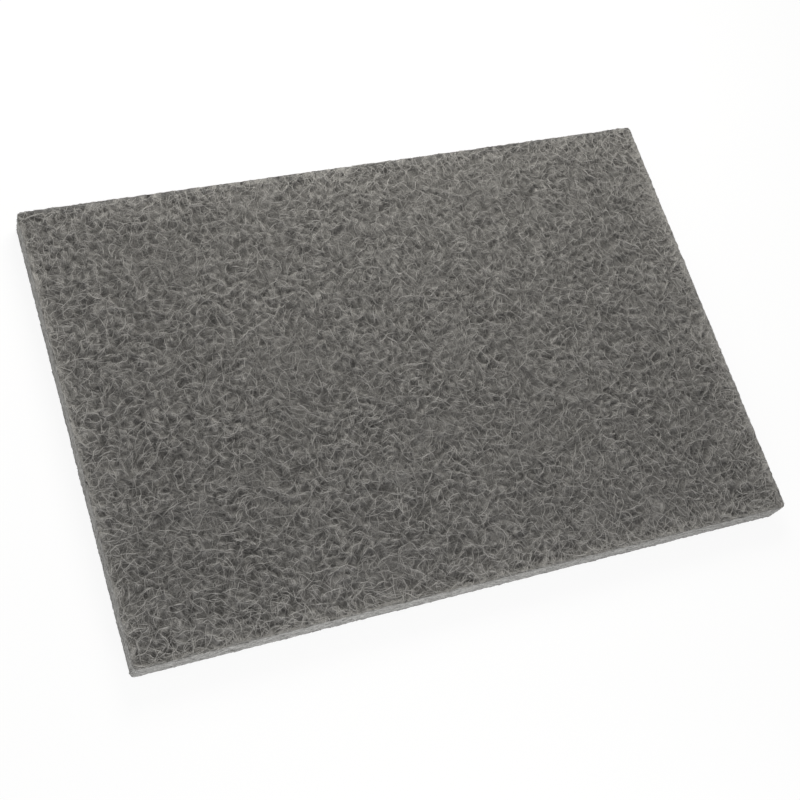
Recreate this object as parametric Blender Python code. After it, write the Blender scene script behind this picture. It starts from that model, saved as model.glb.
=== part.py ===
"""Abrasive hand pad: one flat piece of lofty nonwoven web, guillotined to a rectangle.

Lengths are in metres. The pad lies on its lower face with its long edges along X, and the
origin is the middle of that face. The web is open: strands of bonded fibre stand at the full
loft on both faces, and pores sink between them. Every strand and pore lies inside the cut size.
"""

import math
import random

import bmesh
import bpy
from mathutils import Vector

# Cut size
PAD_LENGTH = 0.227
PAD_WIDTH = 0.1535
PAD_LOFT = 0.0095

# Cut edges
CORNER_ROUND = 0.0015
ARRIS_ROUND = 0.0007
CUT_ROW_HEIGHT = 0.0032
CUT_FRAY = 0.0005

# Strands and pores of the two faces
WEB_PITCH = 0.0041
STRAND_LENGTH = 0.022
STRAND_WANDER = 0.0009
PORE_DEPTH = 0.0021

# Shares and counts that shape the web
STRAND_LAYERS = 1.1
MOST_BESIDE = 3
SHALLOWEST_PORE = 0.35
STRAND_TURN = 0.35
SQUARE_CUT_SHARE = 0.4
CORNER_SEGMENTS = 2
WEB_SEED = 11

# Finish
WEB_GREY = (0.135, 0.132, 0.124, 1.0)
WEB_ROUGHNESS = 0.95

NEAR_ZERO = 1e-6


def clear_scene():
    for obj in list(bpy.data.objects):
        bpy.data.objects.remove(obj, do_unlink=True)


def web_material():
    material = bpy.data.materials.new("bonded_web_grey")
    material.use_nodes = True
    shader = material.node_tree.nodes["Principled BSDF"]
    shader.inputs["Base Color"].default_value = WEB_GREY
    shader.inputs["Roughness"].default_value = WEB_ROUGHNESS
    shader.inputs["Metallic"].default_value = 0.0
    return material


def is_upright(edge):
    start, end = (vert.co for vert in edge.verts)
    return abs(start.z - end.z) > NEAR_ZERO


def bevel(bm, edges, width, segments):
    bmesh.ops.bevel(
        bm,
        geom=edges,
        offset=width,
        offset_type="OFFSET",
        segments=segments,
        profile=0.5,
        affect="EDGES",
        clamp_overlap=True,
        material=-1,
    )


def cut_block(bm):
    """The guillotined block, with its corners and arrises eased."""
    bmesh.ops.create_cube(bm, size=1.0)
    bmesh.ops.scale(bm, vec=(PAD_LENGTH, PAD_WIDTH, PAD_LOFT), verts=bm.verts)
    bmesh.ops.translate(bm, vec=(0.0, 0.0, PAD_LOFT / 2), verts=bm.verts)
    bevel(bm, [edge for edge in bm.edges if is_upright(edge)], CORNER_ROUND, CORNER_SEGMENTS)
    bevel(bm, [edge for edge in bm.edges if not is_upright(edge)], ARRIS_ROUND, 1)


def cut_rows(bm, direction, start, span, count):
    """Cuts the block into rows of equal depth along one direction."""
    for row in range(1, count):
        place = direction * (start + span * row / count)
        geom = bm.verts[:] + bm.edges[:] + bm.faces[:]
        bmesh.ops.bisect_plane(bm, geom=geom, dist=NEAR_ZERO, plane_co=place, plane_no=direction)


def strands_beside(knots, column, row):
    """How many of a knot's eight neighbours a strand already passes over."""
    ring = ((a, b) for a in (-1, 0, 1) for b in (-1, 0, 1) if a or b)
    return sum((column + a, row + b) in knots for a, b in ring)


def strand_knots(columns, rows, rng):
    """The knots of the web's grid that strands pass over, drawn by walks that keep turning.

    A strand dives under where the face is already crowded, so that pores stay open everywhere.
    """
    knots = set()
    steps = max(2, round(STRAND_LENGTH / WEB_PITCH))
    for _ in range(round(STRAND_LAYERS * columns * rows / steps)):
        along = rng.uniform(0, columns)
        across = rng.uniform(0, rows)
        heading = rng.uniform(0, 2 * math.pi)
        for _ in range(steps):
            knot = (round(along), round(across))
            if strands_beside(knots, *knot) <= MOST_BESIDE:
                knots.add(knot)
            heading += rng.gauss(0, STRAND_TURN)
            along = min(max(along + math.cos(heading), 0), columns)
            across = min(max(across + math.sin(heading), 0), rows)
    return knots


def wander(rng, normal, reach):
    """A random shift of up to the given reach that stays in the surface."""
    shift = Vector([rng.uniform(-reach, reach) for _ in range(3)])
    return shift - normal * shift.dot(normal)


def inside_cut_size(place):
    """The same place, brought back to the cut line or to the full loft where it lies beyond."""
    return Vector((
        min(max(place.x, -PAD_LENGTH / 2), PAD_LENGTH / 2),
        min(max(place.y, -PAD_WIDTH / 2), PAD_WIDTH / 2),
        min(max(place.z, 0.0), PAD_LOFT),
    ))


def open_web(bm, columns, rows, rng):
    """Sinks pores between the strands of both faces and frays the cut sides."""
    strands = {side: strand_knots(columns, rows, rng) for side in (-1, 1)}
    bm.normal_update()
    moves = []
    for vert in bm.verts:
        normal = vert.normal.copy()
        if abs(normal.z) > 1 - NEAR_ZERO:
            column = round((vert.co.x / PAD_LENGTH + 0.5) * columns)
            row = round((vert.co.y / PAD_WIDTH + 0.5) * rows)
            on_strand = (column, row) in strands[round(normal.z)]
            depth = 0.0 if on_strand else PORE_DEPTH * rng.uniform(SHALLOWEST_PORE, 1)
            reach = STRAND_WANDER
        elif abs(normal.z) < NEAR_ZERO:
            depth = 0.0 if rng.random() < SQUARE_CUT_SHARE else rng.uniform(0, CUT_FRAY)
            reach = CUT_FRAY
        else:
            depth = rng.uniform(0, ARRIS_ROUND / 2)
            reach = ARRIS_ROUND / 4
        moves.append((vert, wander(rng, normal, reach) - normal * depth))
    for vert, move in moves:
        vert.co = inside_cut_size(vert.co + move)


def hand_pad_mesh():
    rng = random.Random(WEB_SEED)
    columns = max(3, round(PAD_LENGTH / WEB_PITCH))
    rows = max(3, round(PAD_WIDTH / WEB_PITCH))
    layers = max(1, round(PAD_LOFT / CUT_ROW_HEIGHT))
    bm = bmesh.new()
    cut_block(bm)
    cut_rows(bm, Vector((1, 0, 0)), -PAD_LENGTH / 2, PAD_LENGTH, columns)
    cut_rows(bm, Vector((0, 1, 0)), -PAD_WIDTH / 2, PAD_WIDTH, rows)
    cut_rows(bm, Vector((0, 0, 1)), 0.0, PAD_LOFT, layers)
    open_web(bm, columns, rows, rng)
    bmesh.ops.triangulate(bm, faces=bm.faces[:], quad_method="SHORT_EDGE", ngon_method="BEAUTY")
    mesh = bpy.data.meshes.new("hand_pad")
    bm.to_mesh(mesh)
    bm.free()
    return mesh


def main():
    clear_scene()
    collection = bpy.data.collections.new("abrasive_hand_pad")
    bpy.context.scene.collection.children.link(collection)
    pad = bpy.data.objects.new("hand_pad", hand_pad_mesh())
    pad.data.materials.append(web_material())
    collection.objects.link(pad)


main()
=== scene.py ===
"""Looks of the abrasive hand pad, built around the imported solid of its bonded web.

Lengths are in metres. The pad lies on its lower face, with its long edges along X and its loft
along Z. The matted body of the web fills the solid, and crimped fibres lie over both of its
faces and stand cut off along its four sides.
"""

import functools
import math
from typing import NamedTuple
import bmesh
import bpy
import numpy as np
from bpy.props import FloatProperty, FloatVectorProperty, IntProperty, PointerProperty
from mathutils import Matrix, Vector
from mathutils.bvhtree import BVHTree


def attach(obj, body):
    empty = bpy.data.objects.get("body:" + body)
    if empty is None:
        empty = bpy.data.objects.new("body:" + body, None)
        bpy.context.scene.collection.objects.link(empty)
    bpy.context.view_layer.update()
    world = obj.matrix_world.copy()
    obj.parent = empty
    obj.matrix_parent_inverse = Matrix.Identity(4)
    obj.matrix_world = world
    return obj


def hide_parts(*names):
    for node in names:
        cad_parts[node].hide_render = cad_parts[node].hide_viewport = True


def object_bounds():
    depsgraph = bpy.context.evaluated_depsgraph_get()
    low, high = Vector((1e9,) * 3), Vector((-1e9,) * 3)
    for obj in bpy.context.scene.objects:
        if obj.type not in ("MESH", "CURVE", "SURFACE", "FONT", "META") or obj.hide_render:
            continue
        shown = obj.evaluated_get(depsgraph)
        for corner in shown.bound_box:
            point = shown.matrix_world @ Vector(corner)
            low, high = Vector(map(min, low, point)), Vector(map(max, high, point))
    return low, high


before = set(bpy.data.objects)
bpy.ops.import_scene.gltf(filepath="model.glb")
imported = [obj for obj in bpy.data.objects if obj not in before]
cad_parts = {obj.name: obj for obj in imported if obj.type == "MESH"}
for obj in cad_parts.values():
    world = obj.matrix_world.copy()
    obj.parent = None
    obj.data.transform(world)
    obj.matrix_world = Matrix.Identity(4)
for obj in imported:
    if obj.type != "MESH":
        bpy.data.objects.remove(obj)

bl_info = {
    "name": "Abrasive hand pad",
    "version": (1, 0, 0),
    "blender": (4, 5, 0),
    "location": "3D View > Sidebar > Hand pad",
    "description": "Dresses the solid of a nonwoven abrasive hand pad in its web of fibres",
    "category": "Mesh",
}

PAD_NODE = "hand_pad"
PAD_BODY = "root"

CAD_LOW, CAD_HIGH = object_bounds()
PAD_LENGTH = CAD_HIGH.x - CAD_LOW.x
PAD_WIDTH = CAD_HIGH.y - CAD_LOW.y
PAD_LOFT = CAD_HIGH.z - CAD_LOW.z
CORNER_ROUND = 0.0015
NEAR_ZERO = 1e-6

# Grids of a face. A place on their last line is read from the cell before it
GRID_STEP = 0.0005
LAST_CELL = 1.001

# Strands of a face: random waves about the strand pitch, in calmer and rougher patches
STRAND_BAND = 1.1
STRAND_CONTRAST = 0.8
PATCH_LENGTH = 0.015
PATCH_CONTRAST = 0.6
CALMEST_PATCH = 0.3
ROUGHEST_PATCH = 2.0

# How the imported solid's own strands and pores are read, and how far fibres sag with them
ABOVE_FACE = 0.001
SOLID_EASING = 0.0009
SOLID_SAG = 0.15

# Body of the web. It counts as a face where it lies level, and as a rim near the cut
BODY_CUTS = 3
BODY_SMOOTHINGS = 2
BODY_ROUGHNESS = 0.00012
LEVEL_GAIN = 1.6
LEVEL_START = 0.4
FRAY_REACH = 0.0012
ARRIS_STRETCH = 1.08
RIM_WIDTH = 0.002
RIM_NAP = 0.0002

# Map of the body: both faces, one above the other, and then a strip for each cut side
MAP_MARGIN = 0.01
MAP_FACE_HEIGHT = 0.42
MAP_LOWER_FACE = 0.44
MAP_SIDES = 0.875
MAP_SIDE_PITCH = 0.03
MAP_SIDE_HEIGHT = 0.026
SIDE_REACH = 0.0022
STEEPEST_FACE = 0.6

# Fibres are closed rods with three sides, straight from each joint to the next
ROD_SIDES = 3
FIBRE_JOINTS = 7
STUB_JOINTS = 3
SHORTEST_FIBRE = 0.6
PAST_CUT = 0.002

# Map of the fibres: a row for each tone, with a share of its height for each side of the rod
FIBRE_MAP = "OFBake"
FIBRE_ROWS = 64
STRIP_MARGIN = 0.1
CAP_LENGTH = 0.02
CAP_HEIGHT = 0.2

# How fibres head, turn and wave, in radians
HEADING_SPREAD = 1.2
STEERING = 0.0004
HARDEST_TURN = 0.6
TURN_SPREAD = 0.12
FACE_SWING = (0.1, 0.5)
SIDE_SWING = 0.3
SIDE_CLIMB = 0.16
LYING_DRIFT = 0.25

# How their crimp differs from fibre to fibre, and how it lifts and sinks them
CRIMP_SPREAD = (0.75, 1.3)
FACE_LOFT_PACE = 1.3
SIDE_LOFT_PACE = 1.2
LOFT_CRIMP = 0.00016
END_DIP = 0.0004
END_DIP_POWER = 5
WORN_DEPTH = 0.0001
WORN_REACH = 0.0011

# How their width differs from fibre to fibre and from joint to joint, and swells in beads
WIDTH_SPREAD = (0.75, 1.25)
JOINT_SPREAD = (0.9, 1.1)
BEAD_SHARE = 0.09
BEAD_SWELL = 0.6

# Tones of the fibres, from 0 for the darkest row of their map to 1 for the lightest
# Painted shade on fibres over the pores and painted light on fibres along the strands
STRAND_LIGHT_AND_SHADE = 0.5
# Fibres lighter near the cut: partly a paler core, partly painted rim light from behind
RIM_CORE_AND_LIGHT_TONE = 0.42
RIM_CORE_AND_LIGHT_REACH = 0.006
FACE_TONE_SPREAD = 0.08
CORE_TONE = 0.7
CORE_TONE_FADE = 0.5
CORE_TONE_SPREAD = 0.14

# Finish of the fibres: specks of grit and thicker resin, counted along a row and across rows
GRIT_SPECKS = (32, 2.3)
GRIT_CONTRAST = 0.5
RESIN_PATCHES = (5, 1.1)
RESIN_CONTRAST = 0.45
FIBRE_TONES = (-0.1, 1.1)
FIBRE_ROUGHNESS = 0.62
GRIT_ROUGHNESS = 0.3
FIBRE_BUMP = (0.00008, 0.6)

# Finish of the body: matted fibres that run several ways, and streaks along the cut sides
MATTED_FIBRE = (0.0035, 0.00042, 0.0009)
MATTED_WAYS = 4
MATTED_TURN = 0.3
MATTED_EDGE = (0.52, 0.68)
MATTED_TONE = 0.18
MATTED_CONTRAST = 0.4
# Painted shade that darkens the body in its pores
PORE_PAINTED_SHADE = 0.6
# Body lighter near the cut: partly a paler core, partly painted rim light
BODY_RIM_CORE_AND_LIGHT_TONE = 0.22
STREAK = (0.0022, 0.0022, 0.0004)
STREAK_EDGE = (0.4, 0.65)
STREAK_TONE = 0.28
STREAK_CONTRAST = 0.6
BODY_BUMP = (0.0003, 0.7)

# Numbers that set the random draws of the pieces apart
BODY_DRAWS = 10
FACE_DRAWS = 20
SIDE_DRAWS = 40

# The stage
WHITE = (1.0, 1.0, 1.0, 1.0)
FLOOR_GREY = (0.9, 0.9, 0.9, 1.0)
FLOOR_WHITENESS = 0.9
FLOOR_REACH = 3.0
FLOOR_GAP = 0.0002
LAMP_SIZE = 0.2
KEY_PLACE = (0.02, 0.2, 0.22)
KEY_COLOUR = (1.0, 0.985, 0.92)
FILL_PLACE = (-0.06, -0.32, 0.12)
SIDE_PLACE = (-0.36, -0.02, 0.06)
SENSOR_WIDTH = 36.0
NEAREST_SEEN = 0.01

# Places of a Mix node's colour sockets
MIX_FACTOR, MIX_A, MIX_B, MIX_RESULT = 0, 6, 7, 2


class Reading:
    """A node's number, from which Python's own operators make further Math nodes."""

    def __init__(self, finish, output):
        self.finish = finish
        self.output = output

    def maths(self, operation, *terms):
        return self.finish.node("ShaderNodeMath", {"operation": operation}, dict(enumerate(terms)))

    def larger(self, other):
        return self.maths("MAXIMUM", self, other)

    def __add__(self, other):
        return self.maths("ADD", self, other)

    def __sub__(self, other):
        return self.maths("SUBTRACT", self, other)

    def __rsub__(self, other):
        return self.maths("SUBTRACT", other, self)

    def __mul__(self, other):
        return self.maths("MULTIPLY", self, other)

    __radd__ = __add__
    __rmul__ = __mul__


class Finish:
    """One shader in a material's or the world's node tree, with the nodes that feed it."""

    def __init__(self, tree, shader="Principled BSDF"):
        self.tree = tree
        self.shader = tree.nodes[shader]

    def node(self, kind, settings=None, inputs=None, output=0):
        """Adds a node with the given settings and socket values or links, and reads an output."""
        made = self.tree.nodes.new(kind)
        for name, value in (settings or {}).items():
            setattr(made, name, value)
        for key, value in (inputs or {}).items():
            self.feed(made.inputs[key], value)
        return Reading(self, made.outputs[output])

    def feed(self, socket, value):
        if isinstance(value, Reading):
            self.tree.links.new(value.output, socket)
        else:
            socket.default_value = value

    def wear(self, **inputs):
        """Feeds the shader's own sockets, named with underscores for their spaces."""
        for name, value in inputs.items():
            self.feed(self.shader.inputs[name.replace("_", " ")], value)

    def blend(self, factor, start, end):
        inputs = {MIX_FACTOR: factor, MIX_A: start, MIX_B: end}
        return self.node("ShaderNodeMix", {"data_type": "RGBA"}, inputs, MIX_RESULT)

    def stretched(self, place, scale, turn=0.0):
        """Places in a pattern whose unit is stretched to the given scale and turned."""
        inputs = {"Vector": place, "Scale": scale, "Rotation": (0.0, 0.0, turn)}
        return self.node("ShaderNodeMapping", {"vector_type": "TEXTURE"}, inputs)

    def noise(self, place, detail):
        inputs = {"Vector": place, "Scale": 1.0, "Detail": detail}
        return self.node("ShaderNodeTexNoise", None, inputs)

    def step(self, value, low, high):
        """Rises smoothly from 0 to 1 as the value goes from low to high."""
        inputs = {"Value": value, "From Min": low, "From Max": high}
        return self.node("ShaderNodeMapRange", {"interpolation_type": "SMOOTHSTEP"}, inputs)

    def bump(self, height, distance, strength):
        inputs = {"Height": height, "Distance": distance, "Strength": strength}
        return self.node("ShaderNodeBump", None, inputs)

    def seen(self):
        """1 on the rays that show the white surroundings, whether straight or in a gloss."""
        camera, glossy, transmitted = (
            self.node("ShaderNodeLightPath", output=kind)
            for kind in ("Is Camera Ray", "Is Glossy Ray", "Is Transmission Ray")
        )
        return camera.larger(glossy).larger(transmitted)


def new_material(name):
    material = bpy.data.materials.new(name)
    material.use_nodes = True
    return material


class WebSettings(bpy.types.PropertyGroup):
    """Sizes and colours of the bonded web"""

    seed: IntProperty(
        name="Seed",
        description="Which web of its kind this one is",
        default=7,
        min=0,
    )
    upper_count: IntProperty(
        name="Upper fibres",
        description="Fibres in each of the three layers over the upper face",
        default=4300,
        min=100,
    )
    lower_count: IntProperty(
        name="Lower fibres",
        description="Fibres in each of the two layers over the lower face",
        default=2650,
        min=100,
    )
    side_count: IntProperty(
        name="Side fibres",
        description="Fibres that lie along the four cut sides",
        default=2300,
        min=100,
    )
    end_count: IntProperty(
        name="Cut ends",
        description="Short ends that come out of the four cut sides",
        default=5000,
        min=100,
    )
    fibre_width: FloatProperty(
        name="Fibre width",
        description="Width of a fibre with its coat of resin and grit",
        default=0.00021,
        min=0.0001,
        precision=5,
        unit="LENGTH",
    )
    fibre_step: FloatProperty(
        name="Fibre step",
        description="Length of each straight stretch of a fibre",
        default=0.00125,
        min=0.0003,
        precision=5,
        unit="LENGTH",
    )
    crimp_length: FloatProperty(
        name="Crimp length",
        description="Length of one wave of a crimped fibre",
        default=0.005,
        min=0.002,
        precision=5,
        unit="LENGTH",
    )
    strand_pitch: FloatProperty(
        name="Strand pitch",
        description="Distance from one strand of the web to the next",
        default=0.0034,
        min=0.002,
        precision=5,
        unit="LENGTH",
    )
    pore_depth: FloatProperty(
        name="Pore depth",
        description="How far the pores between the strands sink",
        default=0.0014,
        min=0.0,
        precision=5,
        unit="LENGTH",
    )
    face_nap: FloatProperty(
        name="Face nap",
        description="Depth of the loose fibres over the matted body on each face",
        default=0.0006,
        min=0.0,
        precision=5,
        unit="LENGTH",
    )
    side_nap: FloatProperty(
        name="Side nap",
        description="Depth of the cut fibres over the matted body on each side",
        default=0.0002,
        min=0.0,
        precision=5,
        unit="LENGTH",
    )
    # Darkest grey; in the pores it stands for painted shade as well as the resin
    deep_grey: FloatVectorProperty(
        name="Deep grey",
        description="Colour of the resin in the pores",
        default=(0.12, 0.117, 0.113, 1.0),
        size=4,
        subtype="COLOR",
    )
    # Lightest grey; on the highest strands it stands for painted light as well as the grit
    grit_grey: FloatVectorProperty(
        name="Grit grey",
        description="Colour of the grit on the strands that stand highest",
        default=(0.424, 0.413, 0.396, 1.0),
        size=4,
        subtype="COLOR",
    )
    core_shade: FloatVectorProperty(
        name="Core shade",
        description="Darkest colour of the less coated fibres in the cut sides",
        default=(0.27, 0.267, 0.259, 1.0),
        size=4,
        subtype="COLOR",
    )
    core_light: FloatVectorProperty(
        name="Core light",
        description="Lightest colour of the less coated fibres in the cut sides",
        default=(0.5, 0.495, 0.48, 1.0),
        size=4,
        subtype="COLOR",
    )


class StageSettings(bpy.types.PropertyGroup):
    """Camera, floor and lamps"""

    azimuth: FloatProperty(
        name="Azimuth",
        description="Angle of the camera round the pad, from the near long side",
        default=math.radians(-48.22),
        subtype="ANGLE",
    )
    elevation: FloatProperty(
        name="Elevation",
        description="Angle of the camera above the bench",
        default=math.radians(61.91),
        subtype="ANGLE",
    )
    roll: FloatProperty(
        name="Roll",
        description="Turn of the camera about its own view",
        default=math.radians(33.3),
        subtype="ANGLE",
    )
    distance: FloatProperty(
        name="Distance",
        description="From the camera to the point that it looks at",
        default=0.5033,
        min=0.1,
        unit="LENGTH",
    )
    target: FloatVectorProperty(
        name="Target",
        description="The point on the bench that the camera looks at",
        default=(-0.00473, -0.00805, 0.0),
        size=3,
        subtype="XYZ",
        unit="LENGTH",
    )
    lens: FloatProperty(
        name="Lens",
        description="Focal length on a sensor 36 mm wide, in millimetres",
        default=67.95,
        min=10.0,
    )
    key_power: FloatProperty(
        name="Key power",
        description="Power of the soft lamp over the far side",
        default=0.85,
        min=0.0,
        unit="POWER",
    )
    fill_power: FloatProperty(
        name="Fill power",
        description="Power of the soft lamp low in front",
        default=0.5,
        min=0.0,
        unit="POWER",
    )
    side_power: FloatProperty(
        name="Side power",
        description="Power of the soft lamp low at the left",
        default=0.17,
        min=0.0,
        unit="POWER",
    )
    sky_strength: FloatProperty(
        name="Sky strength",
        description="Strength of the plain white light from all round",
        default=0.42,
        min=0.0,
    )


def room_inside(x, y):
    """How far places lie inside the rounded cut line, or below zero outside it."""
    over_x = np.abs(x) - (PAD_LENGTH / 2 - CORNER_ROUND)
    over_y = np.abs(y) - (PAD_WIDTH / 2 - CORNER_ROUND)
    beyond = np.hypot(np.maximum(over_x, 0), np.maximum(over_y, 0))
    return CORNER_ROUND - beyond - np.minimum(np.maximum(over_x, over_y), 0)


def folded(places, half):
    """Places beyond half a length, mirrored back inside it."""
    return np.where(np.abs(places) > half, np.sign(places) * 2 * half - places, places)


def filtered(grid, share):
    """The grid with each of its waves kept by the share that its frequency gets."""
    along = np.fft.fftfreq(grid.shape[0], GRID_STEP)
    across = np.fft.rfftfreq(grid.shape[1], GRID_STEP)
    frequency = np.hypot(along[:, None], across[None, :])
    return np.fft.irfft2(np.fft.rfft2(grid) * share(frequency), grid.shape)


def merged_solid():
    """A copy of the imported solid's mesh with its loose triangles joined."""
    bm = bmesh.new()
    bm.from_mesh(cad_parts[PAD_NODE].data)
    bmesh.ops.remove_doubles(bm, verts=bm.verts[:], dist=NEAR_ZERO)
    return bm


class Face:
    """One face of the web, as grids of how high its strands stand and how far it sinks."""

    def __init__(self, up, strand_pitch, pore_depth, seed):
        self.up = up
        rng = np.random.default_rng([seed, up + 1])
        self.columns = round(PAD_LENGTH / GRID_STEP) + 1
        self.rows = round(PAD_WIDTH / GRID_STEP) + 1
        web = self.random_waves(
            rng, lambda frequency: np.exp(-(((frequency * strand_pitch - 1) / STRAND_BAND) ** 2))
        )
        patches = self.random_waves(
            rng, lambda frequency: np.exp(-((frequency * PATCH_LENGTH) ** 2))
        )
        web *= np.clip(1 + PATCH_CONTRAST * patches, CALMEST_PATCH, ROUGHEST_PATCH)
        self.strand = np.clip(0.5 + STRAND_CONTRAST * web, 0, 1)
        self.depth = SOLID_SAG * self.read_solid() + pore_depth * (1 - self.strand)
        self.uphill = np.gradient(self.strand, GRID_STEP)

    def random_waves(self, rng, share):
        """A random grid, of unit spread, with the given share of each frequency."""
        waves = filtered(rng.normal(size=(self.columns, self.rows)), share)
        return waves / waves.std()

    def read_solid(self):
        """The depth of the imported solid's own strands and pores, eased."""
        bm = merged_solid()
        tree = BVHTree.FromBMesh(bm)
        bm.free()
        start = PAD_LOFT + ABOVE_FACE if self.up > 0 else -ABOVE_FACE
        down = Vector((0, 0, -self.up))
        depth = np.zeros((self.columns, self.rows))
        for column, row in np.ndindex(depth.shape):
            x = column * GRID_STEP - PAD_LENGTH / 2
            y = row * GRID_STEP - PAD_WIDTH / 2
            distance = tree.ray_cast(Vector((x, y, start)), down)[3]
            if distance is not None:
                depth[column, row] = max(distance - ABOVE_FACE, 0)
        return filtered(
            depth, lambda frequency: np.exp(-2 * (math.pi * SOLID_EASING * frequency) ** 2)
        )

    def read(self, grid, x, y):
        """The grid's value at places between its points."""
        column = np.clip((x + PAD_LENGTH / 2) / GRID_STEP, 0, self.columns - LAST_CELL)
        row = np.clip((y + PAD_WIDTH / 2) / GRID_STEP, 0, self.rows - LAST_CELL)
        left = column.astype(int)
        near = row.astype(int)
        across = column - left
        away = row - near
        return (
            grid[left, near] * (1 - across) * (1 - away)
            + grid[left + 1, near] * across * (1 - away)
            + grid[left, near + 1] * (1 - across) * away
            + grid[left + 1, near + 1] * across * away
        )

    def starts(self, rng, count, choices):
        """One place in each cell of an even grid, the highest on its strand of a few choices.

        The grid reaches past the cut, and places beyond the cut are folded back inside it.
        """
        length = PAD_LENGTH + 2 * PAST_CUT
        width = PAD_WIDTH + 2 * PAST_CUT
        pitch = math.sqrt(length * width / count)
        cells = (round(length / pitch), round(width / pitch))
        column, row = np.meshgrid(np.arange(cells[0]), np.arange(cells[1]), indexing="ij")
        shift = rng.random((2, *cells, choices))
        x = folded(((column[..., None] + shift[0]) / cells[0] - 0.5) * length, PAD_LENGTH / 2)
        y = folded(((row[..., None] + shift[1]) / cells[1] - 0.5) * width, PAD_WIDTH / 2)
        best = self.read(self.strand, x, y).argmax(2)[..., None]
        return np.take_along_axis(x, best, 2).ravel(), np.take_along_axis(y, best, 2).ravel()


@functools.lru_cache(maxsize=2)
def laid_face(up, strand_pitch, pore_depth, seed):
    """The face with these settings, kept because the body and its fibres share it."""
    return Face(up, strand_pitch, pore_depth, seed)


def face_of(web, up):
    return laid_face(up, web.strand_pitch, web.pore_depth, web.seed)


def eased(values):
    """Each fibre's values, averaged with those of the joints beside them."""
    padded = np.pad(values, ((0, 0), (1, 1)), mode="edge")
    return (padded[:, :-2] + 2 * padded[:, 1:-1] + padded[:, 2:]) / 4


def steps_to_cut(paths):
    """How many steps each path runs from its first joint before it crosses the cut line."""
    count, joints = paths.shape[:2]
    room = room_inside(paths[..., 0], paths[..., 1])
    outside = room < 0
    first = np.where(outside.any(1), outside.argmax(1), joints - 1)
    every = np.arange(count)
    before = np.maximum(first - 1, 0)
    inner = np.maximum(room[every, before], 0)
    outer = np.minimum(room[every, first], 0)
    crossing = inner / np.maximum(inner - outer, NEAR_ZERO)
    return np.where(outside.any(1), before + crossing, joints - 1)


def cut_at_outline(paths, anchor):
    """The stretch of each path about its anchor that lies inside the cut line.

    Stretches that would be too short are left out.
    """
    count, joints = paths.shape[:2]
    low = anchor - steps_to_cut(paths[:, anchor::-1])
    high = anchor + steps_to_cut(paths[:, anchor:])
    place = low[:, None] + (high - low)[:, None] * np.linspace(0, 1, joints)[None, :]
    joint = np.minimum(place.astype(int), joints - 2)
    share = (place - joint)[..., None]
    rows = np.arange(count)[:, None]
    cut = paths[rows, joint] * (1 - share) + paths[rows, joint + 1] * share
    return cut[high - low > SHORTEST_FIBRE]


def rod_prototype(joints):
    """One straight closed rod of unit radius, with a ring of vertices at each whole height."""
    length = joints - 1
    bm = bmesh.new()
    bmesh.ops.create_cone(
        bm, cap_ends=True, segments=ROD_SIDES, radius1=1.0, radius2=1.0, depth=length
    )
    bmesh.ops.translate(bm, vec=(0.0, 0.0, length / 2), verts=bm.verts[:])
    upright = [edge for edge in bm.edges if edge.verts[0].co.z != edge.verts[1].co.z]
    bmesh.ops.subdivide_edges(bm, edges=upright, cuts=joints - 2)
    mesh = bpy.data.meshes.new("rod_prototype")
    bm.to_mesh(mesh)
    bm.free()
    return mesh


def rod_strip(rod):
    """A place in one row of the fibre map for each corner of the straight rod.

    The caps take a small triangle at either end of the row.
    """
    top = max(vert.co.z for vert in rod.vertices)
    places = []
    for face in rod.polygons:
        is_cap = abs(face.normal.z) > 0.5
        turn = math.atan2(face.normal.y, face.normal.x) / math.tau
        side = round(turn * ROD_SIDES - 0.5) % ROD_SIDES
        for number, vertex in enumerate(face.vertices):
            place = rod.vertices[vertex].co
            if is_cap:
                along = abs(place.z / top - CAP_LENGTH * (number == 1))
                across = STRIP_MARGIN + CAP_HEIGHT * (number == 2)
            else:
                along = place.z / top
                is_last = face.normal.cross(Vector((place.x, place.y, 0.0))).z > 0
                across = (side + (1 - STRIP_MARGIN if is_last else STRIP_MARGIN)) / ROD_SIDES
            places.append((along, across))
    return np.array(places)


def repeated(mesh, count):
    """The mesh as many times over as counted, by an Array modifier."""
    holder = bpy.data.objects.new("rod_holder", mesh)
    bpy.context.scene.collection.objects.link(holder)
    array = holder.modifiers.new("every_fibre", "ARRAY")
    array.count = count
    array.use_relative_offset = False
    array.use_constant_offset = True
    array.constant_offset_displace = (0.0, 0.0, 0.0)
    graph = bpy.context.evaluated_depsgraph_get()
    made = bpy.data.meshes.new_from_object(holder.evaluated_get(graph))
    bpy.data.objects.remove(holder)
    return made


def unit(vectors):
    return vectors / np.linalg.norm(vectors, axis=-1, keepdims=True)


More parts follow.
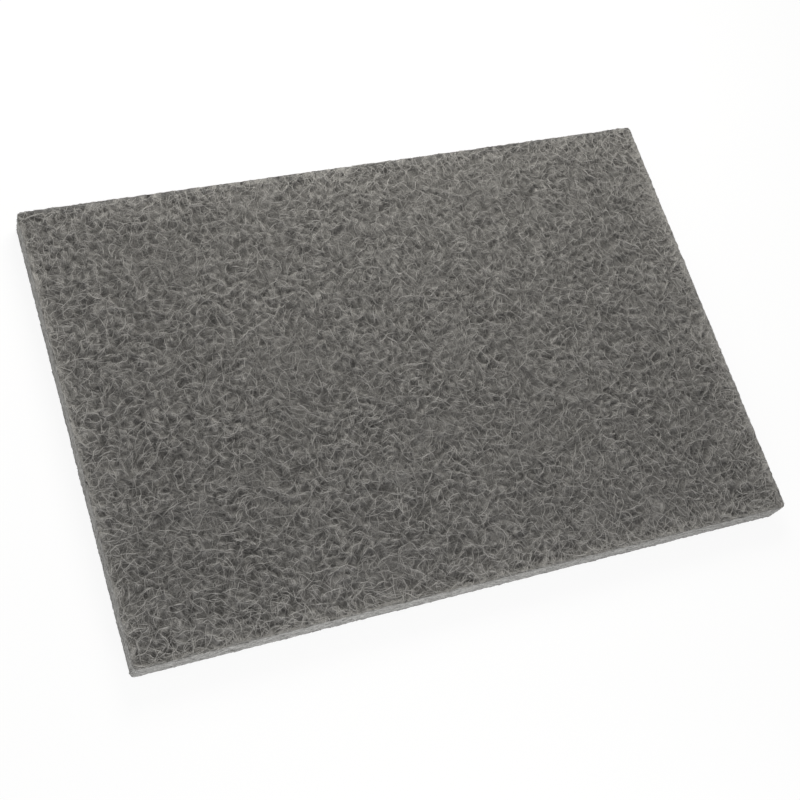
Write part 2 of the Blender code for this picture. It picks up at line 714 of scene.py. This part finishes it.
def fibre_piece(name, paths, widths, tones, material):
    """A piece with one closed rod bent along each path, as a crimped fibre is."""
    count, joints = paths.shape[:2]
    paths[..., 2] = np.clip(paths[..., 2], widths / 2, PAD_LOFT - widths / 2)
    rod = rod_prototype(joints)
    straight = np.array([vert.co for vert in rod.vertices])
    strip = rod_strip(rod)
    mesh = repeated(rod, count)
    bpy.data.meshes.remove(rod)
    mesh.name = name

    ring = straight[:, 2].round().astype(int)
    tangent = unit(np.gradient(paths, axis=1))
    side = unit(np.cross((0.0, 0.0, 1.0), tangent))
    rise = np.cross(tangent, side)
    reach = widths[:, ring, None] / 2
    places = paths[:, ring] + reach * (
        straight[:, 0, None] * side[:, ring] + straight[:, 1, None] * rise[:, ring]
    )
    mesh.vertices.foreach_set("co", places.astype(np.float32).ravel())

    corner_joint = np.clip((strip[:, 0] * (joints - 1)).round().astype(int), 0, joints - 1)
    tones = np.broadcast_to(tones, (count, joints))[:, corner_joint]
    corners = np.empty((count, len(strip), 2), np.float32)
    corners[..., 0] = strip[:, 0]
    corners[..., 1] = np.clip(tones, 0, 1 - 1 / FIBRE_ROWS) + strip[:, 1] / FIBRE_ROWS
    fibre_map = mesh.uv_layers.new(name=FIBRE_MAP)
    fibre_map.uv.foreach_set("vector", corners.ravel())
    mesh.shade_smooth()
    mesh.update()
    return dressed(name, mesh, material)


def dressed(name, mesh, material):
    """Makes the mesh a piece of the pad in the given material."""
    mesh.materials.clear()
    mesh.materials.append(material)
    piece = bpy.data.objects.new(name, mesh)
    bpy.context.scene.collection.objects.link(piece)
    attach(piece, PAD_BODY)
    return piece


def material_once(name, build, *inputs):
    """The named material, built the first time that it is asked for."""
    return bpy.data.materials.get(name) or build(name, *inputs)


def fibre_material(name, dark, light):
    """Resin and grit along a fibre, read from the fibre's own row of its map."""
    material = new_material(name)
    finish = Finish(material.node_tree)
    place = finish.node("ShaderNodeUVMap", {"uv_map": FIBRE_MAP})
    row = finish.node("ShaderNodeSeparateXYZ", None, {"Vector": place}, "Y")
    grit, resin = (
        finish.noise(finish.stretched(place, (1 / along, 1 / (across * FIBRE_ROWS), 1.0)), detail)
        for (along, across), detail in ((GRIT_SPECKS, 2.0), (RESIN_PATCHES, 1.0))
    )
    tone = row + GRIT_CONTRAST * (grit - 0.5) + RESIN_CONTRAST * (resin - 0.5)
    finish.wear(
        Base_Color=finish.blend(finish.step(tone, *FIBRE_TONES), dark, light),
        Roughness=FIBRE_ROUGHNESS + GRIT_ROUGHNESS * grit,
        Specular_IOR_Level=0.35,
        Normal=finish.bump(grit, *FIBRE_BUMP),
    )
    return material


def web_fibre_material(web):
    return material_once("web_fibre", fibre_material, web.deep_grey, web.grit_grey)


def core_fibre_material(web):
    return material_once("core_fibre", fibre_material, web.core_shade, web.core_light)


def body_material(name, web):
    """Matted fibres that run every way, with painted shade in the pores, paler in the cut sides.
    """
    material = new_material(name)
    finish = Finish(material.node_tree)
    place = finish.node("ShaderNodeTexCoord", output="Object")
    pore, cut, rim = (
        finish.node("ShaderNodeAttribute", {"attribute_name": mark}, output="Fac")
        for mark in ("pore", "cut", "rim")
    )
    ways = [
        finish.stretched(place, MATTED_FIBRE, math.pi * (number + MATTED_TURN) / MATTED_WAYS)
        for number in range(MATTED_WAYS)
    ]
    lines = functools.reduce(
        Reading.larger, (finish.step(finish.noise(way, 1.0), *MATTED_EDGE) for way in ways)
    )
    # Painted shade in the pores; near the cut a paler core together with painted rim light
    tone = (MATTED_TONE + MATTED_CONTRAST * lines) * (1 - PORE_PAINTED_SHADE * pore) + BODY_RIM_CORE_AND_LIGHT_TONE * rim
    face = finish.blend(tone, web.deep_grey, web.grit_grey)
    streaks = finish.step(finish.noise(finish.stretched(place, STREAK), 2.0), *STREAK_EDGE)
    side_tone = STREAK_TONE + STREAK_CONTRAST * streaks
    side = finish.blend(side_tone, web.deep_grey, web.core_light)
    matting = lines + cut * (streaks - lines)
    finish.wear(
        Base_Color=finish.blend(cut, face, side),
        Roughness=0.9,
        Specular_IOR_Level=0.25,
        Normal=finish.bump(matting, *BODY_BUMP),
    )
    return material


def triples(items, name):
    """The named triple of each of a mesh's items, one to a row."""
    values = np.empty(3 * len(items), np.float32)
    items.foreach_get(name, values)
    return values.reshape(-1, 3)


def square_off(places, nap):
    """Sets the frayed sides at one even distance inside the cut, and at the full loft."""
    frayed = room_inside(places[:, 0], places[:, 1]) < FRAY_REACH
    x, y = places[frayed, 0], places[frayed, 1]
    over_x = np.maximum(np.abs(x) - (PAD_LENGTH / 2 - CORNER_ROUND), 0)
    over_y = np.maximum(np.abs(y) - (PAD_WIDTH / 2 - CORNER_ROUND), 0)
    length = np.maximum(np.hypot(over_x, over_y), NEAR_ZERO)
    out = room_inside(x, y) - nap
    places[frayed, 0] += np.sign(x) * out * over_x / length
    places[frayed, 1] += np.sign(y) * out * over_y / length
    height = np.clip(ARRIS_STRETCH * (2 * places[frayed, 2] / PAD_LOFT - 1), -1, 1)
    places[frayed, 2] = (height + 1) * PAD_LOFT / 2


def body_map(mesh):
    """Lays both faces and the four sides of the body flat on its map, clear of each other."""
    layer = mesh.uv_layers.new(name=FIBRE_MAP)
    vertex = np.empty(len(mesh.loops), np.int32)
    mesh.loops.foreach_get("vertex_index", vertex)
    centre = np.repeat(triples(mesh.polygons, "center"), 3, axis=0)
    normal = np.repeat(triples(mesh.polygons, "normal"), 3, axis=0)
    place = triples(mesh.vertices, "co")[vertex].astype(float)
    by_length = place[:, 0] / PAD_LENGTH + 0.5
    by_width = place[:, 1] / PAD_WIDTH + 0.5
    by_loft = place[:, 2] / PAD_LOFT
    near_cut = room_inside(centre[:, 0], centre[:, 1]) < SIDE_REACH
    is_side = near_cut & (np.abs(normal[:, 2]) < STEEPEST_FACE)
    is_upper = centre[:, 2] > PAD_LOFT / 2
    is_long = np.abs(normal[:, 1]) > np.abs(normal[:, 0])
    is_far = np.where(is_long, normal[:, 1], normal[:, 0]) > 0
    along = np.where(is_side & ~is_long, by_width, by_length)
    face_row = np.where(is_upper, MAP_MARGIN, MAP_LOWER_FACE) + MAP_FACE_HEIGHT * by_width
    side_row = MAP_SIDES + MAP_SIDE_PITCH * (2 * is_long + is_far) + MAP_SIDE_HEIGHT * by_loft
    corners = np.empty((len(vertex), 2), np.float32)
    corners[:, 0] = MAP_MARGIN + (1 - 2 * MAP_MARGIN) * along
    corners[:, 1] = np.where(is_side, side_row, face_row)
    layer.uv.foreach_set("vector", corners.ravel())


class HANDPAD_OT_web_body(bpy.types.Operator):
    """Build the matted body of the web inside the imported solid"""

    bl_idname = "handpad.web_body"
    bl_label = "Web body"

    def execute(self, context):
        web = context.scene.pad_web
        bm = merged_solid()
        bmesh.ops.subdivide_edges(bm, edges=bm.edges[:], cuts=BODY_CUTS, use_grid_fill=True)
        inner = [vert for vert in bm.verts if room_inside(vert.co.x, vert.co.y) > RIM_WIDTH]
        for _ in range(BODY_SMOOTHINGS):
            bmesh.ops.smooth_vert(
                bm, verts=inner, factor=0.5, use_axis_x=True, use_axis_y=True, use_axis_z=True
            )
        mesh = bpy.data.meshes.new("web_body")
        bm.to_mesh(mesh)
        bm.free()
        self.sink_pores(mesh, web)
        body_map(mesh)
        mesh.shade_smooth()
        piece = dressed("web_body", mesh, material_once("matted_web", body_material, web))
        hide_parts(PAD_NODE)
        return {"FINISHED"}

    def sink_pores(self, mesh, web):
        """Sinks pores in the body, roughens it, and notes where its pores, cuts and rims are."""
        places = triples(mesh.vertices, "co").astype(float)
        normals = triples(mesh.vertex_normals, "vector").astype(float)
        square_off(places, web.side_nap)
        rng = np.random.default_rng([web.seed, BODY_DRAWS])
        upper = places[:, 2] > PAD_LOFT / 2
        flat = np.clip(np.abs(normals[:, 2]) * LEVEL_GAIN - LEVEL_START, 0, 1)
        room = room_inside(places[:, 0], places[:, 1])
        inside = np.clip((room - web.side_nap) / RIM_WIDTH, 0, 1)
        depth = np.zeros(len(places))
        pore = np.zeros(len(places))
        for up in (-1, 1):
            face = face_of(web, up)
            here = upper if up > 0 else ~upper
            openness = 1 - face.read(face.strand, places[here, 0], places[here, 1])
            open_sink = web.face_nap + web.pore_depth * openness
            sink = RIM_NAP * (1 - inside[here]) + open_sink * inside[here]
            depth[here] = -up * sink * flat[here]
            pore[here] = openness * flat[here]
        places[:, 2] += depth
        places += normals * rng.normal(0, BODY_ROUGHNESS, len(places))[:, None]
        places[:, 2] = np.clip(places[:, 2], 0, PAD_LOFT)
        mesh.vertices.foreach_set("co", places.astype(np.float32).ravel())
        # How near the cut the body is lightened, partly as painted rim light
        rim = np.exp(-room.clip(0) / RIM_CORE_AND_LIGHT_REACH)
        marks = {"pore": pore, "cut": 1 - np.maximum(flat, inside), "rim": rim}
        for name, values in marks.items():
            mark = mesh.attributes.new(name, "FLOAT", "POINT")
            mark.data.foreach_set("value", values)
        mesh.update()


class Layer(NamedTuple):
    """How one layer of fibres lies over a face.

    It lies under the strands by its drop, strays up and down from there by its spread, and sags
    into the pores by its share of their depth. Each fibre takes the best of its choices of a
    place, so more of them keep the layer closer to the strands.
    """

    drop: float
    spread: float
    choices: int
    sag: float
    # Deeper layers take a lower tone, as painted shade of their depth
    tone: float


UPPER_LAYERS = {
    "deep_fibres": Layer(drop=0.0006, spread=0.00015, choices=1, sag=0.95, tone=0.42),
    "middle_fibres": Layer(drop=0.00035, spread=0.00012, choices=3, sag=0.7, tone=0.46),
    "surface_fibres": Layer(drop=0.00012, spread=0.0001, choices=3, sag=0.4, tone=0.5),
}
LOWER_LAYERS = {
    "lower_deep_fibres": Layer(drop=0.0004, spread=0.00015, choices=2, sag=0.85, tone=0.45),
    "lower_surface_fibres": Layer(drop=0.00012, spread=0.0001, choices=3, sag=0.4, tone=0.5),
}


def crimp_pace(web, rng, count):
    """How far the crimp of each fibre comes round from one joint to the next."""
    return math.tau * web.fibre_step / (web.crimp_length * rng.uniform(*CRIMP_SPREAD, count))


def half_walk(face, web, rng, start, heading, bends):
    """Joints of fibres that set out from their places and keep to the strands as they go.

    Each bend turns one step of every fibre aside, and the fibre's own heading stays.
    """
    x, y = start
    joints = []
    for bend in bends:
        slope_x = face.read(face.uphill[0], x, y)
        slope_y = face.read(face.uphill[1], x, y)
        across = np.cos(heading) * slope_y - np.sin(heading) * slope_x
        turn = np.clip(STEERING * across, -HARDEST_TURN, HARDEST_TURN)
        heading = heading + turn + rng.normal(0, TURN_SPREAD, len(x))
        x = x + web.fibre_step * np.cos(heading + bend)
        y = y + web.fibre_step * np.sin(heading + bend)
        joints.append((x, y))
    return joints


def lay_fibres(face, web, rng, count, layer):
    """Centre lines and tones of crimped fibres that follow the strands of a face."""
    start = face.starts(rng, count, layer.choices)
    count = len(start[0])
    half = FIBRE_JOINTS // 2
    uphill = [face.read(slope, *start) for slope in face.uphill]
    heading = np.arctan2(uphill[0], -uphill[1]) + rng.normal(0, HEADING_SPREAD, count)
    phase = rng.uniform(0, math.tau, count)
    pace = crimp_pace(web, rng, count)
    swing = rng.uniform(*FACE_SWING, count)
    ahead = [swing * np.cos(phase + pace * step) for step in range(half)]
    behind = [swing * np.cos(phase - pace * step) for step in range(half)]
    joints = half_walk(face, web, rng, start, heading + math.pi, behind)[::-1]
    joints.append(start)
    joints += half_walk(face, web, rng, start, heading, ahead)
    x, y = np.stack(joints, 2)
    depth = eased(face.read(face.depth, x, y))
    lift = phase[:, None] * 2 + pace[:, None] * FACE_LOFT_PACE * np.arange(FIBRE_JOINTS)
    crimp = LOFT_CRIMP * np.sin(lift)
    drop = layer.drop + rng.normal(0, layer.spread, count)[:, None]
    dip = END_DIP * np.abs(np.linspace(-1, 1, FIBRE_JOINTS)) ** END_DIP_POWER
    worn = WORN_DEPTH * np.exp(-np.maximum(room_inside(x, y), 0) / WORN_REACH)
    below = layer.sag * depth + drop + crimp + dip + worn
    z = PAD_LOFT - below if face.up > 0 else below
    paths = cut_at_outline(np.stack((x, y, z), 2), half)
    x, y = paths[..., 0], paths[..., 1]
    # Fibres over the pores are darker as painted shade, and those on the strands lighter as
    # painted light
    tones = layer.tone + STRAND_LIGHT_AND_SHADE * (face.read(face.strand, x, y) - 0.5)
    # Lighter near the cut: partly a paler core, partly painted rim light
    tones += RIM_CORE_AND_LIGHT_TONE * np.exp(-room_inside(x, y).clip(0) / RIM_CORE_AND_LIGHT_REACH)
    return paths, tones + rng.normal(0, FACE_TONE_SPREAD, (len(paths), 1))


def fibre_widths(web, rng, paths):
    """Widths at the joints of the paths, which swell at a few of them, where resin beads."""
    count, joints = paths.shape[:2]
    own = web.fibre_width * rng.uniform(*WIDTH_SPREAD, (count, 1))
    beads = 1 + BEAD_SWELL * (rng.random((count, joints)) < BEAD_SHARE)
    return own * beads * rng.uniform(*JOINT_SPREAD, (count, joints))


def face_fibres(context, up, layers, count):
    """Makes a piece of each layer over the upper or the lower face."""
    web = context.scene.pad_web
    face = face_of(web, up)
    for number, (name, layer) in enumerate(layers.items()):
        rng = np.random.default_rng([web.seed, FACE_DRAWS + number, up + 1])
        paths, tones = lay_fibres(face, web, rng, count, layer)
        widths = fibre_widths(web, rng, paths)
        fibre_piece(name, paths, widths, tones, web_fibre_material(web))


class HANDPAD_OT_upper_fibres(bpy.types.Operator):
    """Lay the three layers of fibres over the upper face"""

    bl_idname = "handpad.upper_fibres"
    bl_label = "Upper fibres"

    def execute(self, context):
        face_fibres(context, 1, UPPER_LAYERS, context.scene.pad_web.upper_count)
        return {"FINISHED"}


class HANDPAD_OT_lower_fibres(bpy.types.Operator):
    """Lay the two layers of fibres that the pad rests on"""

    bl_idname = "handpad.lower_fibres"
    bl_label = "Lower fibres"

    def execute(self, context):
        face_fibres(context, -1, LOWER_LAYERS, context.scene.pad_web.lower_count)
        return {"FINISHED"}


class CutKind(NamedTuple):
    """How one kind of fibre lies at the cut sides.

    It either comes out of a side or lies along it, give or take the spread of its headings. It
    sets out from a setback behind the cut, and from a share of the loft between its rises.
    """

    comes_out: bool
    joints: int
    spread: float
    setback: tuple
    rises: tuple


CUT_KINDS = {
    "side_fibres": CutKind(
        comes_out=False,
        joints=FIBRE_JOINTS,
        spread=0.35,
        setback=(0.00005, 0.0005),
        rises=(0.0, 1.0),
    ),
    "cut_ends": CutKind(
        comes_out=True,
        joints=STUB_JOINTS,
        spread=0.9,
        setback=(0.0012, 0.0024),
        rises=(0.07, 0.93),
    ),
}
SIDE_NORMALS = np.array([(0.0, -1.0), (0.0, 1.0), (-1.0, 0.0), (1.0, 0.0)])


def side_paths(web, rng, count, kind):
    """Centre lines of one kind of fibre at the four cut sides."""
    lengths = np.array([PAD_LENGTH, PAD_LENGTH, PAD_WIDTH, PAD_WIDTH])
    halves = np.array([PAD_WIDTH, PAD_WIDTH, PAD_LENGTH, PAD_LENGTH]) / 2
    side = rng.choice(len(SIDE_NORMALS), count, p=lengths / lengths.sum())
    normal = SIDE_NORMALS[side]
    along = np.stack((-normal[:, 1], normal[:, 0]), 1)
    place = rng.uniform(-0.5, 0.5, count) * lengths[side]
    behind = rng.uniform(*kind.setback, count)
    rise = rng.uniform(*kind.rises, count) * PAD_LOFT
    heading = rng.uniform(-kind.spread, kind.spread, count)
    either_way = math.pi * rng.integers(0, 2, count)
    heading += math.pi / 2 if kind.comes_out else either_way
    drift = 1.0 if kind.comes_out else LYING_DRIFT
    phase = rng.uniform(0, math.tau, count)
    pace = crimp_pace(web, rng, count)
    climb = rng.normal(0, SIDE_CLIMB, count)
    points = []
    for joint in range(kind.joints):
        flat = normal * (halves[side] - behind)[:, None] + along * place[:, None]
        points.append(np.concatenate((flat, rise[:, None]), 1))
        turn = heading + SIDE_SWING * np.cos(phase + pace * joint)
        lift = phase * 2 + pace * SIDE_LOFT_PACE * joint
        place = place + web.fibre_step * np.cos(turn)
        behind = behind - web.fibre_step * np.sin(turn) * drift
        rise = rise + web.fibre_step * (climb + SIDE_SWING * np.sin(lift))
    paths = np.stack(points, 1)
    paths[..., 2] = PAD_LOFT / 2 + folded(paths[..., 2] - PAD_LOFT / 2, PAD_LOFT / 2)
    return cut_at_outline(paths, 0 if kind.comes_out else kind.joints // 2)


class HANDPAD_OT_cut_fibres(bpy.types.Operator):
    """Lay the fibres that show in the four guillotined sides"""

    bl_idname = "handpad.cut_fibres"
    bl_label = "Cut fibres"

    def execute(self, context):
        web = context.scene.pad_web
        rng = np.random.default_rng([web.seed, SIDE_DRAWS])
        counts = {"side_fibres": web.side_count, "cut_ends": web.end_count}
        for name, kind in CUT_KINDS.items():
            paths = side_paths(web, rng, counts[name], kind)
            from_core = np.abs(2 * paths[..., 2] / PAD_LOFT - 1)
            tones = CORE_TONE - CORE_TONE_FADE * from_core**3
            tones += rng.normal(0, CORE_TONE_SPREAD, (len(paths), 1))
            widths = fibre_widths(web, rng, paths)
            fibre_piece(name, paths, widths, tones, core_fibre_material(web))
        return {"FINISHED"}


def floor_material():
    """White where it is seen, but for a part of the pad's own shadow."""
    material = new_material("bench_white")
    finish = Finish(material.node_tree)
    finish.wear(Base_Color=FLOOR_GREY, Roughness=0.9, Specular_IOR_Level=0.0)
    shaded = Reading(finish, finish.shader.outputs["BSDF"])
    white = finish.node("ShaderNodeEmission", None, {"Color": WHITE, "Strength": 1.0})
    whiteness = FLOOR_WHITENESS * finish.seen()
    mixed = finish.node("ShaderNodeMixShader", None, {0: whiteness, 1: shaded, 2: white})
    output = finish.tree.nodes["Material Output"]
    finish.feed(output.inputs["Surface"], mixed)
    return material


def aimed_at_pad(place):
    """A matrix for a lamp at this place that shines at the middle of the pad."""
    turn = (-Vector(place)).to_track_quat("-Z", "Y")
    return Matrix.Translation(place) @ turn.to_matrix().to_4x4()


class HANDPAD_OT_stage(bpy.types.Operator):
    """Set out the floor, the lamps and the camera"""

    bl_idname = "handpad.stage"
    bl_label = "Stage"

    def execute(self, context):
        stage = context.scene.pad_stage
        self.set_camera(context.scene, stage)
        self.lay_floor(context.scene)
        self.light_sky(context.scene, stage)
        self.hang_lamp(context.scene, "key_lamp", KEY_PLACE, stage.key_power, KEY_COLOUR)
        self.hang_lamp(context.scene, "fill_lamp", FILL_PLACE, stage.fill_power, WHITE[:3])
        self.hang_lamp(context.scene, "side_lamp", SIDE_PLACE, stage.side_power, WHITE[:3])
        context.scene.view_settings.view_transform = "Standard"
        return {"FINISHED"}

    def set_camera(self, scene, stage):
        azimuth, elevation, roll = stage.azimuth, stage.elevation, stage.roll
        back = Vector((
            math.sin(azimuth) * math.cos(elevation),
            -math.cos(azimuth) * math.cos(elevation),
            math.sin(elevation),
        ))
        level = Vector((math.cos(azimuth), math.sin(azimuth), 0.0))
        steep = back.cross(level)
        right = math.cos(roll) * level + math.sin(roll) * steep
        above = back.cross(right)
        place = Vector(stage.target) + back * stage.distance
        camera = bpy.data.objects.new("photo_camera", bpy.data.cameras.new("photo_camera"))
        turn = Matrix((right, above, back)).transposed()
        camera.matrix_world = Matrix.Translation(place) @ turn.to_4x4()
        camera.data.sensor_width = SENSOR_WIDTH
        camera.data.lens = stage.lens
        camera.data.clip_start = NEAREST_SEEN
        scene.collection.objects.link(camera)
        scene.camera = camera

    def lay_floor(self, scene):
        bm = bmesh.new()
        bmesh.ops.create_grid(bm, x_segments=1, y_segments=1, size=FLOOR_REACH)
        bmesh.ops.translate(bm, vec=(0.0, 0.0, -FLOOR_GAP), verts=bm.verts[:])
        mesh = bpy.data.meshes.new("bench_top")
        bm.to_mesh(mesh)
        bm.free()
        mesh.materials.append(floor_material())
        floor = bpy.data.objects.new("bench_top", mesh)
        scene.collection.objects.link(floor)

    def light_sky(self, scene, stage):
        world = bpy.data.worlds.new("studio")
        world.use_nodes = True
        scene.world = world
        sky = Finish(world.node_tree, "Background")
        strength = stage.sky_strength + (1 - stage.sky_strength) * sky.seen()
        sky.wear(Color=WHITE, Strength=strength)

    def hang_lamp(self, scene, name, place, power, colour):
        lamp = bpy.data.lights.new(name, "AREA")
        lamp.shape = "DISK"
        lamp.size = LAMP_SIZE
        lamp.energy = power
        lamp.color = colour
        holder = bpy.data.objects.new(name, lamp)
        holder.matrix_world = aimed_at_pad(place)
        scene.collection.objects.link(holder)


class HANDPAD_PT_panel(bpy.types.Panel):
    """Lists what the pad is made of"""

    bl_idname = "HANDPAD_PT_panel"
    bl_label = "Abrasive hand pad"
    bl_space_type = "VIEW_3D"
    bl_region_type = "UI"
    bl_category = "Hand pad"

    def draw(self, context):
        for operator in OPERATORS:
            self.layout.operator(operator.bl_idname)
        for settings in (context.scene.pad_web, context.scene.pad_stage):
            box = self.layout.box()
            for name in settings.__annotations__:
                box.prop(settings, name)


OPERATORS = (
    HANDPAD_OT_web_body,
    HANDPAD_OT_upper_fibres,
    HANDPAD_OT_lower_fibres,
    HANDPAD_OT_cut_fibres,
    HANDPAD_OT_stage,
)
CLASSES = (WebSettings, StageSettings, *OPERATORS, HANDPAD_PT_panel)


def register():
    for kind in CLASSES:
        bpy.utils.register_class(kind)
    bpy.types.Scene.pad_web = PointerProperty(type=WebSettings)
    bpy.types.Scene.pad_stage = PointerProperty(type=StageSettings)


def unregister():
    del bpy.types.Scene.pad_stage
    del bpy.types.Scene.pad_web
    for kind in reversed(CLASSES):
        bpy.utils.unregister_class(kind)


def main():
    register()
    bpy.ops.handpad.web_body()
    bpy.ops.handpad.upper_fibres()
    bpy.ops.handpad.lower_fibres()
    bpy.ops.handpad.cut_fibres()
    bpy.ops.handpad.stage()


if __name__ == "__main__":
    main()
